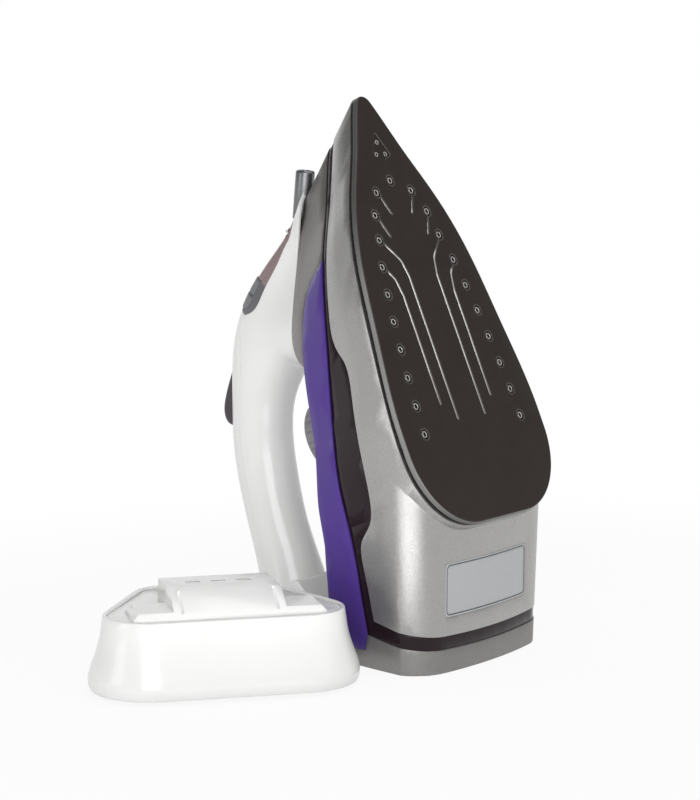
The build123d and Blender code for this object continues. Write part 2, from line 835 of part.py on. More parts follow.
def contact_carrier():
    level = deck_height - base_wall
    high = deck_height + ramp_rise + wing_height - 2 - level - seam
    block = Pos(0, contact_place, level) * Box(2 * (carrier_half - seam), carrier_depth - 2 * seam, high,
                                               align=(Align.CENTER, Align.CENTER, Align.MIN))
    return block - dock_contacts()


def dock_contacts():
    top = deck_height + ramp_rise + wing_height - 1
    bars = [Pos(x, contact_place, top) * Box(6, 1, 14, align=(Align.CENTER, Align.CENTER, Align.MAX))
            for x in contact_row]
    return Compound(bars)


def cord_gland():
    return gland_rod(gland_radius) - gland_rod(gland_radius - 1.5)


def gland_rod(radius):
    place = Pos(0, base_depth + 3, base_height * 0.3) * Rot(-90, 0, 0)
    return place * Cylinder(radius, 20, align=(Align.CENTER, Align.CENTER, Align.MAX))


iron_pieces = {
    "soleplate": soleplate, "heater_casting": heater_casting, "heating_element": heating_element,
    "chamber_cover": chamber_cover_plate, "heat_shield": heat_shield, "sole_screws": sole_screws,
    "thermostat": thermostat, "thermal_fuse": thermal_fuse, "drip_valve": drip_valve,
    "skirt_shell": skirt_shell, "rating_plate": rating_plate, "water_tank": water_tank,
    "heel_band": heel_band, "front_cover": front_cover, "deck_cover": deck_cover, "heel_cap": heel_cap,
    "contact_block": contact_block, "heel_contacts": heel_contacts, "power_leads": power_leads,
    "handle_upper": handle_upper, "handle_lower": handle_lower, "heel_bridge": heel_bridge,
    "control_bezel": control_bezel, "filler_lid": filler_lid, "lid_pin": lid_pin,
    "filler_throat": filler_throat, "fill_tube": fill_tube, "pump_block": pump_block,
    "pilot_lens": pilot_lens, "steam_lever": steam_lever, "lever_pin": lever_pin,
    "temperature_dial": temperature_dial, "dial_shaft": dial_shaft, "spray_nozzle": spray_nozzle,
    "nozzle_insert": nozzle_insert,
}
base_pieces = {
    "base_shell": base_shell, "base_bottom": base_bottom, "base_feet": base_feet, "base_deck": base_deck,
    "docking_pad": docking_pad, "contact_carrier": contact_carrier, "dock_contacts": dock_contacts,
    "cord_gland": cord_gland,
}


def place_on_floor(shape):
    # The origin lies on the heel's foot, this far behind the sole's rear edge.
    return Pos(0, -heel_origin, 0) * shape


def build():
    shapes = {name: stand.location * make() for name, make in iron_pieces.items()}
    right, left = side_trims()
    shapes["trim_left"] = stand.location * left
    shapes["trim_right"] = stand.location * right
    for name, start in zip(("spray", "steam"), button_starts):
        shapes[name + "_button"] = stand.location * push_button(start)
        shapes[name + "_plunger"] = stand.location * plunger(start)
    for name, make in base_pieces.items():
        shapes[name] = base_set * make()
    return shapes


os.makedirs("parts", exist_ok=True)
for name, shape in build().items():
    export_step(place_on_floor(shape), f"parts/{name}.step")
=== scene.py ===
import json
import math

import bmesh
import bpy
from mathutils import Matrix, Vector
from mathutils.bvhtree import BVHTree


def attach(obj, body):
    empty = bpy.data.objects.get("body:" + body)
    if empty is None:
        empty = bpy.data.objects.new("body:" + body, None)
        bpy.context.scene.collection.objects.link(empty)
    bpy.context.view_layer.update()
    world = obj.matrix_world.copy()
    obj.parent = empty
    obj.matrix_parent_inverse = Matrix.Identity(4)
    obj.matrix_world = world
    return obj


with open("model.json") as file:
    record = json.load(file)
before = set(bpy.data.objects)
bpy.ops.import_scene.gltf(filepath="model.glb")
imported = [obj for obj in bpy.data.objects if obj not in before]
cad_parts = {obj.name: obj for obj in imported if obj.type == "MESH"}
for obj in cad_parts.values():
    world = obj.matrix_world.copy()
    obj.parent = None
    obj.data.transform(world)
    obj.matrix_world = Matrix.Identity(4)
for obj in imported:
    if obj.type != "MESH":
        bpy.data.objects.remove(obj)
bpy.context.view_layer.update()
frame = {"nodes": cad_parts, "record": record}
nodes = frame["nodes"]
scene = bpy.context.scene
scene.view_settings.view_transform = "Standard"
mm = 0.001
bumpRise = 0.2 * mm
coatGloss = {"plastic": 0.08, "lacquer": 0.12}
print("frame loaded:", len(nodes), "nodes")

# The iron is measured lying flat: x across, y heel to tip, z up from the sole face, in mm.
stance = {"lean": 23.45, "drop": 71.2, "origin": 30.0}
leanSin, leanCos = math.sin(math.radians(stance["lean"])), math.cos(math.radians(stance["lean"]))
ironMatrix = Matrix(((-mm, 0, 0, 0),
                     (0, leanSin * mm, leanCos * mm, -stance["origin"] * mm),
                     (0, leanCos * mm, -leanSin * mm, stance["drop"] * mm),
                     (0, 0, 0, 1)))
# The line of the control panel down the handle's nose: where it starts, its run and its outward side.
crest = {"start": (176.0, 57.0), "along": (-0.5612, 0.8276), "out": (0.8276, 0.5612)}
baseSpot = {"x": -135.8, "y": 53.3, "turn": -39.0}
baseMatrix = (Matrix.Translation((baseSpot["x"] * mm, (baseSpot["y"] - stance["origin"]) * mm, 0))
              @ Matrix.Rotation(math.radians(baseSpot["turn"]), 4, "Z") @ Matrix.Scale(mm, 4))


def linear(hexCode):
    channels = [int(hexCode[i:i + 2], 16) / 255 for i in (1, 3, 5)]
    return [c / 12.92 if c <= 0.04045 else ((c + 0.055) / 1.055) ** 2.4 for c in channels] + [1.0]


def addNode(tree, kind, values=None, links=None, **settings):
    made = tree.nodes.new(kind)
    for key, value in settings.items():
        setattr(made, key, value)
    for key, value in (values or {}).items():
        made.inputs[key].default_value = value
    for key, source in (links or {}).items():
        tree.links.new(source, made.inputs[key])
    return made


def startMaterial(name):
    material = bpy.data.materials.new(name)
    material.use_nodes = True
    tree = material.node_tree
    tree.nodes.clear()
    output = addNode(tree, "ShaderNodeOutputMaterial")
    spot = addNode(tree, "ShaderNodeTexCoord").outputs["Object"]
    return material, tree, output, spot


def secondShot(tree, spot, tone, shot):
    # The stretch of a two-shot moulding along the control panel that is in its other colour.
    run = (ironMatrix.to_3x3() @ Vector((0, *crest["along"]))).normalized()
    zero = run.dot(ironMatrix @ Vector((0, *crest["start"])))
    place = addNode(tree, "ShaderNodeVectorMath", {1: run}, {0: spot}, operation="DOT_PRODUCT").outputs["Value"]
    start, end, blur = [shot[key] * mm for key in ("start", "end", "blur")]
    rise = addNode(tree, "ShaderNodeMapRange", {"From Min": zero + start, "From Max": zero + start + blur},
                   {"Value": place})
    fall = addNode(tree, "ShaderNodeMapRange", {"From Min": zero + end, "From Max": zero + end - blur},
                   {"Value": place})
    share = addNode(tree, "ShaderNodeMath", links={0: rise.outputs["Result"], 1: fall.outputs["Result"]},
                    operation="MULTIPLY")
    return addNode(tree, "ShaderNodeMix", {"B": linear(shot["colour"])},
                   {"Factor": share.outputs["Value"], "A": tone}, data_type="RGBA").outputs["Result"]


def moulded(name, finish):
    # Plastic from a mould: a base colour that drifts a little, and the mould's own texture as bump.
    material, tree, output, spot = startMaterial(name)
    drift = addNode(tree, "ShaderNodeTexNoise", {"Scale": 1 / (finish["driftSize"] * mm), "Detail": 3.0},
                    {"Vector": spot})
    colour = addNode(tree, "ShaderNodeMix", {"A": linear(finish["colour"]), "B": linear(finish["shade"])},
                     {"Factor": drift.outputs["Fac"]}, data_type="RGBA")
    tone = colour.outputs["Result"]
    if "second" in finish:
        tone = secondShot(tree, spot, tone, finish["second"])
    grain = addNode(tree, "ShaderNodeTexNoise", {"Scale": 1 / (finish["grainSize"] * mm), "Detail": 4.0},
                    {"Vector": spot})
    bump = addNode(tree, "ShaderNodeBump", {"Strength": finish["grainDepth"], "Distance": bumpRise},
                   {"Height": grain.outputs["Fac"]})
    rough = addNode(tree, "ShaderNodeMapRange",
                    {"To Min": finish["roughness"] * 0.85, "To Max": finish["roughness"] * 1.2},
                    {"Value": drift.outputs["Fac"]})
    shader = addNode(tree, "ShaderNodeBsdfPrincipled",
                     {"IOR": finish["ior"], "Coat Weight": finish.get("coat", 0.0),
                      "Coat Roughness": coatGloss["plastic"]},
                     {"Base Color": tone, "Roughness": rough.outputs["Result"],
                      "Normal": bump.outputs["Normal"]})
    tree.links.new(shader.outputs["BSDF"], output.inputs["Surface"])
    return material


def lacquer(name, finish):
    # Metallic lacquer on ABS: fine aluminium flake in the colour coat, clear coat over it.
    material, tree, output, spot = startMaterial(name)
    flake = addNode(tree, "ShaderNodeTexVoronoi", {"Scale": 1 / (finish["flakeSize"] * mm)}, {"Vector": spot})
    tint = addNode(tree, "ShaderNodeSeparateColor", links={"Color": flake.outputs["Color"]})
    colour = addNode(tree, "ShaderNodeMix", {"A": linear(finish["colour"]), "B": linear(finish["spark"])},
                     {"Factor": tint.outputs["Red"]}, data_type="RGBA")
    rough = addNode(tree, "ShaderNodeMapRange",
                    {"To Min": finish["roughness"] * 0.8, "To Max": finish["roughness"] * 1.25},
                    {"Value": tint.outputs["Green"]})
    peel = addNode(tree, "ShaderNodeTexNoise", {"Scale": 1 / (finish["peelSize"] * mm), "Detail": 2.0},
                   {"Vector": spot})
    bump = addNode(tree, "ShaderNodeBump", {"Strength": finish["peelDepth"], "Distance": bumpRise},
                   {"Height": peel.outputs["Fac"]})
    shader = addNode(tree, "ShaderNodeBsdfPrincipled",
                     {"Metallic": finish["metallic"], "Coat Weight": finish["coat"], "Coat Roughness": coatGloss["lacquer"]},
                     {"Base Color": colour.outputs["Result"], "Roughness": rough.outputs["Result"],
                      "Normal": bump.outputs["Normal"]})
    tree.links.new(shader.outputs["BSDF"], output.inputs["Surface"])
    return material


def bareMetal(name, finish):
    # Plain metal with the marks of its making: mottle for casting, faint streaks for drawn or rolled stock.
    material, tree, output, spot = startMaterial(name)
    stretch = addNode(tree, "ShaderNodeMapping", {"Scale": finish["stretch"]}, {"Vector": spot})
    mottle = addNode(tree, "ShaderNodeTexNoise", {"Scale": 1 / (finish["markSize"] * mm), "Detail": 5.0},
                     {"Vector": stretch.outputs["Vector"]})
    colour = addNode(tree, "ShaderNodeMix", {"A": linear(finish["colour"]), "B": linear(finish["shade"])},
                     {"Factor": mottle.outputs["Fac"]}, data_type="RGBA")
    rough = addNode(tree, "ShaderNodeMapRange",
                    {"To Min": finish["roughness"] * 0.7, "To Max": finish["roughness"] * 1.3},
                    {"Value": mottle.outputs["Fac"]})
    bump = addNode(tree, "ShaderNodeBump", {"Strength": finish["depth"], "Distance": bumpRise},
                   {"Height": mottle.outputs["Fac"]})
    shader = addNode(tree, "ShaderNodeBsdfPrincipled", {"Metallic": 1.0},
                     {"Base Color": colour.outputs["Result"], "Roughness": rough.outputs["Result"],
                      "Normal": bump.outputs["Normal"]})
    tree.links.new(shader.outputs["BSDF"], output.inputs["Surface"])
    return material


soleFinish = {"colour": "#322b28", "shade": "#2a2421", "speck": "#463f3a", "edge": "#8f8e8c", "speckSize": 0.5,
              "speckFrom": 0.66, "speckTo": 0.8, "cloud": 60.0, "roughness": 0.45, "specular": 0.16, "depth": 0.12}


def soleCoating(name, finish):
    # Sprayed ceramic coat on aluminium: brown grey with fine pale specks; the plate's edge is left bare.
    material, tree, output, spot = startMaterial(name)
    cloud = addNode(tree, "ShaderNodeTexNoise", {"Scale": finish["cloud"], "Detail": 4.0}, {"Vector": spot})
    coat = addNode(tree, "ShaderNodeMix", {"A": linear(finish["colour"]), "B": linear(finish["shade"])},
                   {"Factor": cloud.outputs["Fac"]}, data_type="RGBA")
    # Specks of about 0.15 mm are drawn at 0.5 mm so that they show.
    grit = addNode(tree, "ShaderNodeTexNoise", {"Scale": 1 / (finish["speckSize"] * mm), "Detail": 1.0},
                   {"Vector": spot})
    specks = addNode(tree, "ShaderNodeMapRange", {"From Min": finish["speckFrom"], "From Max": finish["speckTo"]},
                     {"Value": grit.outputs["Fac"]})
    speckled = addNode(tree, "ShaderNodeMix", {"B": linear(finish["speck"])},
                       {"Factor": specks.outputs["Result"], "A": coat.outputs["Result"]}, data_type="RGBA")
    face = addNode(tree, "ShaderNodeTexCoord").outputs["Normal"]
    outward = addNode(tree, "ShaderNodeVectorMath", {1: (0, -leanCos, leanSin)}, {0: face},
                      operation="DOT_PRODUCT")
    side = addNode(tree, "ShaderNodeMapRange", {"From Min": 0.75, "From Max": 0.25},
                   {"Value": outward.outputs["Value"]})
    colour = addNode(tree, "ShaderNodeMix", {"B": linear(finish["edge"])},
                     {"Factor": side.outputs["Result"], "A": speckled.outputs["Result"]}, data_type="RGBA")
    bump = addNode(tree, "ShaderNodeBump", {"Strength": finish["depth"], "Distance": bumpRise},
                   {"Height": grit.outputs["Fac"]})
    shader = addNode(tree, "ShaderNodeBsdfPrincipled",
                     {"Roughness": finish["roughness"], "Specular IOR Level": finish["specular"]},
                     {"Base Color": colour.outputs["Result"], "Metallic": side.outputs["Result"],
                      "Normal": bump.outputs["Normal"]})
    tree.links.new(shader.outputs["BSDF"], output.inputs["Surface"])
    return material


materials = {
    "sole_coating": soleCoating("Aluminium plate ceramic sprayed", soleFinish),
    # As-cast aluminium: pale, mottled by the die.
    "cast_aluminium": bareMetal("Aluminium die cast", {
        "colour": "#b4b4b3", "shade": "#8f8f8e", "markSize": 3.0, "stretch": (1, 1, 1),
        "roughness": 0.42, "depth": 0.3}),
    # Drawn steel wire and pressed steel: faint streaks.
    "steel": bareMetal("Steel drawn bright", {
        "colour": "#b8b9ba", "shade": "#949596", "markSize": 1.5, "stretch": (1, 8, 8),
        "roughness": 0.3, "depth": 0.1}),
    "brass": bareMetal("Brass stamped", {
        "colour": "#c9a45c", "shade": "#a98544", "markSize": 1.5, "stretch": (6, 1, 1),
        "roughness": 0.3, "depth": 0.1}),
    # Silver lacquer: soft sheen, flake of about 0.05 mm drawn at 0.3 mm.
    "silver_shell": lacquer("ABS silver lacquered", {
        "colour": "#9f9e9d", "spark": "#abaaa9", "flakeSize": 0.3, "metallic": 0.9, "roughness": 0.33,
        "coat": 0.1, "peelSize": 1.6, "peelDepth": 0.02}),
    "nozzle_silver": lacquer("ABS bright silver lacquered", {
        "colour": "#6f7072", "spark": "#797a7c", "flakeSize": 0.3, "metallic": 0.9, "roughness": 0.32,
        "coat": 0.1, "peelSize": 1.6, "peelDepth": 0.02}),
    # Matt printed film, left blank.
    "plate_film": lacquer("Polyester film satin silver", {
        "colour": "#b1b3b4", "spark": "#b8babb", "flakeSize": 0.3, "metallic": 0.35, "roughness": 0.45,
        "coat": 0.0, "peelSize": 2.0, "peelDepth": 0.02}),
    # Smoked polycarbonate: almost black violet brown, polished mould.
    "smoke_tank": moulded("Polycarbonate smoked polished", {
        "colour": "#200f18", "shade": "#180b12", "driftSize": 25.0, "grainSize": 3.0,
        "grainDepth": 0.02, "roughness": 0.16, "ior": 1.34}),
    "violet_trim": moulded("ABS violet gloss moulded", {
        "colour": "#50378c", "shade": "#493184", "driftSize": 30.0, "grainSize": 2.5,
        "grainDepth": 0.02, "roughness": 0.25, "ior": 1.34}),
    # White ABS: bright, high gloss with the slightest flow waviness.
    "white_shell": moulded("ABS white gloss moulded", {
        "colour": "#f1f1f0", "shade": "#ebebea", "driftSize": 40.0, "grainSize": 3.0,
        "grainDepth": 0.02, "roughness": 0.17, "ior": 1.53}),
    "control_grey": moulded("ABS grey spark textured", {
        "colour": "#5b595c", "shade": "#4d4b4e", "driftSize": 12.0, "grainSize": 0.6,
        "grainDepth": 0.25, "roughness": 0.45, "ior": 1.53}),
    "smoke_lid": moulded("SAN smoky brown polished", {
        "colour": "#947f7f", "shade": "#806c6c", "driftSize": 10.0, "grainSize": 3.0,
        "grainDepth": 0.02, "roughness": 0.12, "ior": 1.57, "coat": 0.4}),
    "button_grey": moulded("ABS blue grey satin", {
        "colour": "#7b7d81", "shade": "#6d6f74", "driftSize": 8.0, "grainSize": 0.7, "grainDepth": 0.12,
        "roughness": 0.35, "ior": 1.53}),
    "lever_plastic": moulded("ABS dark plum moulded", {
        "colour": "#3d343c", "shade": "#332b33", "driftSize": 8.0, "grainSize": 0.8, "grainDepth": 0.1,
        "roughness": 0.28, "ior": 1.53}),
    "dial_grey": moulded("ABS mid grey satin", {
        "colour": "#8d8a90", "shade": "#7f7c82", "driftSize": 10.0, "grainSize": 0.7,
        "grainDepth": 0.12, "roughness": 0.38, "ior": 1.53}),
    "ceramic_white": moulded("Acetal natural moulded", {
        "colour": "#e6e4dd", "shade": "#dad8d0", "driftSize": 10.0, "grainSize": 1.0,
        "grainDepth": 0.05, "roughness": 0.35, "ior": 1.48}),
    "lead_sleeve": moulded("Glass fibre sleeve braided", {
        "colour": "#dcd9cf", "shade": "#c3bfb3", "driftSize": 1.0, "grainSize": 0.6, "grainDepth": 0.5,
        "roughness": 0.75, "ior": 1.5}),
    "silicone": moulded("Silicone tube extruded", {
        "colour": "#d9d9d5", "shade": "#cfcfca", "driftSize": 10.0, "grainSize": 1.0,
        "grainDepth": 0.05, "roughness": 0.4, "ior": 1.41}),
    "lamp_lens": moulded("Acrylic ruby polished", {
        "colour": "#5a1f1f", "shade": "#4a1818", "driftSize": 6.0, "grainSize": 2.0, "grainDepth": 0.02,
        "roughness": 0.08, "ior": 1.49, "coat": 0.5}),
    "rubber": moulded("Rubber black moulded", {
        "colour": "#262526", "shade": "#1d1c1d", "driftSize": 6.0, "grainSize": 0.6, "grainDepth": 0.2,
        "roughness": 0.6, "ior": 1.52}),
}
print("materials made:", len(materials))

# Edge breaks of the moulded pieces, in mm; pieces not named keep their sharp edges.
edgeBreaks = {
    "skirt_shell": 0.5, "heel_cap": 0.5, "front_cover": 0.4, "trim_left": 0.5, "trim_right": 0.5,
    "water_tank": 0.3, "heel_band": 0.3, "handle_upper": 0.3, "handle_lower": 0.3, "heel_bridge": 0.4,
    "control_bezel": 0.25, "filler_lid": 0.3, "spray_button": 0.4, "steam_button": 0.4,
    "steam_lever": 0.4, "temperature_dial": 0.3, "base_shell": 0.6, "docking_pad": 0.5,
    "base_deck": 0.3, "spray_nozzle": 0.3, "rating_plate": 0.15}
edgeFinish = {"weld": 2e-6, "segments": 2, "breakFrom": 32.0, "splitFrom": 34.0}
slotOf = {part["node"]: part["material_slot"] for part in frame["record"]["subparts"]}
# The heel cap and the front cover are given a darker, duller silver than the skirt; the bezel is two-shot moulded.
ownFinish = {
    "heel_cap": lacquer("ABS dull silver lacquered", {
        "colour": "#878583", "spark": "#908e8c", "flakeSize": 0.3, "metallic": 0.7, "roughness": 0.5,
        "coat": 0.0, "peelSize": 1.6, "peelDepth": 0.02}),
    "front_cover": lacquer("ABS grey silver lacquered", {
        "colour": "#858180", "spark": "#8e8a89", "flakeSize": 0.3, "metallic": 0.9, "roughness": 0.38,
        "coat": 0.1, "peelSize": 1.6, "peelDepth": 0.02}),
    "control_bezel": moulded("ABS two shot moulded", {
        "colour": "#6b6a6c", "shade": "#5e5c5f", "driftSize": 12.0, "grainSize": 0.6, "grainDepth": 0.1,
        "roughness": 0.35, "ior": 1.5,
        "second": {"colour": "#8a7777", "start": 6.0, "end": 38.2, "blur": 0.4}}),
}


def finishSolid(name, solid):
    solid.data.materials.clear()
    solid.data.materials.append(ownFinish.get(name, materials[slotOf[name]]))
    for face in solid.data.polygons:
        face.use_smooth = True
    weld = solid.modifiers.new("weld", "WELD")
    weld.merge_threshold = edgeFinish["weld"]
    if name in edgeBreaks:
        bevel = solid.modifiers.new("edge break", "BEVEL")
        bevel.width = edgeBreaks[name] * mm
        bevel.segments = edgeFinish["segments"]
        bevel.limit_method = "ANGLE"
        bevel.angle_limit = math.radians(edgeFinish["breakFrom"])
        bevel.harden_normals = True
    split = solid.modifiers.new("crisp edges", "EDGE_SPLIT")
    split.split_angle = math.radians(edgeFinish["splitFrom"])


for name, solid in nodes.items():
    finishSolid(name, solid)
print("solids finished")


def place(name, mesh, body, slot, material=None):
    piece = bpy.data.objects.new(name, mesh)
    scene.collection.objects.link(piece)
    mesh.materials.append(material or materials[slot])
    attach(piece, body)


def joined(name, parts, matrix):
    # One mesh from several bmesh pieces drawn in mm.
    mesh = bpy.data.meshes.new(name)
    whole = bmesh.new()
    for part in parts:
        part.to_mesh(mesh)
        whole.from_mesh(mesh)
        part.free()
    whole.transform(matrix)
    bmesh.ops.recalc_face_normals(whole, faces=whole.faces)
    for face in whole.faces:
        face.smooth = True
    whole.to_mesh(mesh)
    whole.free()
    return mesh


def ring(centre, radius, thick, steps=36, sides=10):
    # A round bead lying in the drawing plane.
    part = bmesh.new()
    rows = []
    for i in range(steps):
        turn = 2 * math.pi * i / steps
        row = []
        for k in range(sides):
            lean = 2 * math.pi * k / sides
            reach = radius + thick * math.cos(lean)
            row.append(part.verts.new((centre[0] + reach * math.cos(turn), centre[1] + reach * math.sin(turn),
                                       centre[2] + thick * math.sin(lean))))
        rows.append(row)
    for i in range(steps):
        for k in range(sides):
            part.faces.new((rows[i][k], rows[(i + 1) % steps][k], rows[(i + 1) % steps][(k + 1) % sides],
                            rows[i][(k + 1) % sides]))
    return part


beadEnd = 0.35


def bead(points, thick, closed=False, sides=10):
    # A round bead along points in mm, with domed ends where it is open.
    part = bmesh.new()
    points = [Vector(p) for p in points]
    rows = []
    count = len(points)
    for i, point in enumerate(points):
        before = points[i - 1] if closed or i else point
        after = points[(i + 1) % count] if closed or i < count - 1 else point
        along = (after - before).normalized()
        across = along.cross(Vector((0, 0, 1)))
        across = across.normalized() if across.length > 1e-6 else Vector((1, 0, 0))
        rise = across.cross(along)
        size = thick if closed or 0 < i < count - 1 else thick * beadEnd
        rows.append([part.verts.new(point + across * size * math.cos(2 * math.pi * k / sides)
                                    + rise * size * math.sin(2 * math.pi * k / sides)) for k in range(sides)])
    for i in range(count if closed else count - 1):
        here, there = rows[i], rows[(i + 1) % count]
        for k in range(sides):
            part.faces.new((here[k], there[k], there[(k + 1) % sides], here[(k + 1) % sides]))
    if not closed:
        part.faces.new(rows[0])
        part.faces.new(list(reversed(rows[-1])))
    return part


def rounded(points, radius, closed=False, steps=8):
    # The points of a run whose corners are turned with arcs.
    points = [Vector(p) for p in points]
    out = []
    for i, corner in enumerate(points):
        if not closed and i in (0, len(points) - 1):
            out.append(corner)
            continue
        back = (points[i - 1] - corner).normalized()
        ahead = (points[(i + 1) % len(points)] - corner).normalized()
        half = back.angle(ahead) / 2
        reach = radius / math.tan(half)
        centre = corner + (back + ahead).normalized() * (radius / math.sin(half))
        start, end = corner + back * reach - centre, corner + ahead * reach - centre
        out += [centre + start.slerp(end, k / steps) * radius for k in range(steps + 1)]
    return out


# Steam vents and polished grooves of the sole, in mm on the sole face.
vents = {"rows": [(14.2, 165.4), (21.3, 154.1), (24.6, 141.6), (29.4, 128.3), (32.4, 114.7),
                  (35, 101.3), (36.9, 87.6), (38.7, 73.7), (39.9, 59.8), (40.5, 46.0)],
         "first": (0, 171.1), "lip": 1.4, "lipThick": 0.3, "lipDepth": 0.7, "rim": 2.9, "rimThick": 0.5,
         "rimDepth": 0.55, "tip": [(0, 191), (3.6, 184.8), (-3.6, 184.8)], "tipLip": 1.0, "tipThick": 0.24}
grooves = {"inner": [(24.6, 141.6), (13.5, 130.3), (11.4, 122), (11.4, 49.5)],
           "outer": [(29.4, 128.3), (23, 121.5), (21.1, 113), (21.1, 58)],
           "start": 3.8, "turn": 6.0, "thick": 0.62, "depth": 0.42, "tail": (6, 12),
           "tip": [(0, 197.5), (7.6, 184), (0, 181), (-7.6, 184)], "tipTurn": 1.5, "tipThick": 0.55}
polished = bareMetal("Aluminium ground bright", {
    "colour": "#dbdad7", "shade": "#c2c1be", "markSize": 1.0, "stretch": (1, 1, 1), "roughness": 0.3,
    "depth": 0.15})
glazed = moulded("Ceramic coat glazed in the dishes", {
    "colour": "#3a3430", "shade": "#302a27", "driftSize": 6.0, "grainSize": 0.8, "grainDepth": 0.05,
    "roughness": 0.22, "ior": 1.6})


def soleVents():
    spots = [vents["first"]] + [(side * x, y) for x, y in vents["rows"] for side in (1, -1)]
    parts = [ring((x, y, vents["lipDepth"]), vents["lip"], vents["lipThick"]) for x, y in spots]
    parts += [ring((x, y, vents["lipDepth"]), vents["tipLip"], vents["tipThick"], 24) for x, y in vents["tip"]]
    place("sole_vent_lips", joined("sole_vent_lips", parts, ironMatrix), "iron", "cast_aluminium", polished)
    parts = [ring((x, y, vents["rimDepth"]), vents["rim"], vents["rimThick"]) for x, y in spots]
    tip = rounded([(x, y, vents["rimDepth"]) for x, y in grooves["tip"]], grooves["tipTurn"], closed=True)
    parts.append(bead(tip, grooves["tipThick"], closed=True))
    place("sole_dishes", joined("sole_dishes", parts, ironMatrix), "iron", "sole_coating", glazed)


def shortened(points, cut):
    # The run with its first length taken off, so that it starts at the rim of its vent.
    first, second = Vector(points[0]), Vector(points[1])
    return [tuple(first + (second - first).normalized() * cut)] + list(points[1:])


def soleGrooves():
    parts = []
    depth = grooves["depth"]
    for side in (1, -1):
        for key in ("inner", "outer"):
            run = shortened(grooves[key], grooves["start"])
            path = rounded([(side * x, y, depth) for x, y in run], grooves["turn"])
            parts.append(bead(path, grooves["thick"]))
        for x, y in vents["rows"][:2]:
            run = shortened([(x, y), (x - grooves["tail"][0], y - grooves["tail"][1])], grooves["start"])
            parts.append(bead([(side * px, py, depth) for px, py in run], grooves["thick"]))
    mesh = joined("sole_groove_beads", parts, ironMatrix)
    place("sole_groove_beads", mesh, "iron", "cast_aluminium", polished)


soleVents()
soleGrooves()
print("sole detailed")

ironInverse = ironMatrix.inverted()


def surfaceOf(node):
    mesh = nodes[node].data
    return BVHTree.FromPolygons([v.co for v in mesh.vertices], [list(p.vertices) for p in mesh.polygons])


def seat(surface, start, aim):
    # Where a line drawn in the iron's own mm meets a solid, and the way its surface faces there.
    aim = (ironMatrix.to_3x3() @ Vector(aim)).normalized()
    spot, facing = surface.ray_cast(ironMatrix @ Vector(start), aim)[:2]
    return ironInverse @ spot, (ironInverse.to_3x3() @ facing).normalized()


def outlineOf(node, level, slack=0.05):
    # The outer edge of a solid at one level of the iron, as points in mm in order round it.
    flat = [ironInverse @ v.co for v in nodes[node].data.vertices]
    flat = [p for p in flat if abs(p.z - level) < slack]
    middle = Vector((0, sealAndShade["middle"], level))
    edge = {}
    for p in flat:
        away = p - middle
        key = round(math.degrees(math.atan2(away.y, away.x)) / 2)
        if key not in edge or away.length > (edge[key] - middle).length:
            edge[key] = p
    return [edge[key] for key in sorted(edge)]


# Dark bead in the gap between the sole and the skirt: partly the silicone seal, partly painted shade of that gap.
sealAndShade = {"level": 3.0, "middle": 90.0, "lift": 0.72, "inset": 1.6, "thick": 0.72}


def soleSealAndShade():
    edge = outlineOf("soleplate", sealAndShade["level"])
    middle = Vector((0, sealAndShade["middle"], sealAndShade["level"]))
    path = []
    for p in edge:
        away = (p - middle).normalized()
        path.append(p - away * sealAndShade["inset"] + Vector((0, 0, sealAndShade["lift"])))
    # Its dark colour is partly the seal's own and partly painted shade in the gap.
    dark = moulded("Silicone seal with painted gap shade", {
        "colour": "#2a2220", "shade": "#221b19", "driftSize": 8.0, "grainSize": 0.8, "grainDepth": 0.1,
        "roughness": 0.5, "ior": 1.41})
    mesh = joined("sole_seal_and_shade", [bead(path, sealAndShade["thick"], closed=True)], ironMatrix)
    place("sole_seal_and_shade", mesh, "iron", "rubber", dark)


# Heat marks on the dial: one, two and three dots, as on care labels, and a pointer rib.
dialMarks = {"middle": 67.0, "top": 85.5, "radius": 14.2, "dot": 0.9, "height": 0.3, "gap": 9.0,
             "groups": [(1, 205), (2, 265), (3, 325)], "pointer": [(0, 8.5), (0, 16.5)], "rib": 0.9}


def dialFace():
    parts = []
    for count, turn in dialMarks["groups"]:
        for k in range(count):
            angle = math.radians(turn + (k - (count - 1) / 2) * dialMarks["gap"])
            spot = (dialMarks["radius"] * math.cos(angle),
                    dialMarks["middle"] + dialMarks["radius"] * math.sin(angle))
            dot = bmesh.new()
            bmesh.ops.create_uvsphere(dot, u_segments=16, v_segments=8, radius=dialMarks["dot"])
            bmesh.ops.scale(dot, vec=(1, 1, dialMarks["height"] / dialMarks["dot"]), verts=dot.verts)
            bmesh.ops.translate(dot, vec=(spot[0], spot[1], dialMarks["top"]), verts=dot.verts)
            parts.append(dot)
    rib = [(x, dialMarks["middle"] + y, dialMarks["top"]) for x, y in dialMarks["pointer"]]
    parts.append(bead(rib, dialMarks["rib"]))
    mesh = joined("dial_marks", parts, ironMatrix)
    place("dial_marks", mesh, "temperature_dial", "white_shell")


# Finger ribs on the thumb lever and the two buttons.
ribs = {"leverPlaces": [105.5, 108.0, 110.5, 113.0], "leverHalf": 5.0, "thick": 0.55, "sink": 0.12,
        "spray_button": [40.6, 42.9, 45.2], "steam_button": [50.0, 52.3, 54.6], "buttonHalf": 4.5,
        "above": 170.0, "away": 30.0}


def crossRib(surface, start, aim, half):
    # A low rib that follows the surface across the piece.
    points = []
    for k in range(9):
        x = half * (k / 4 - 1)
        spot, facing = seat(surface, (x, start[0], start[1]), (0, aim[0], aim[1]))
        points.append(spot - facing * ribs["sink"])
    return bead(points, ribs["thick"])


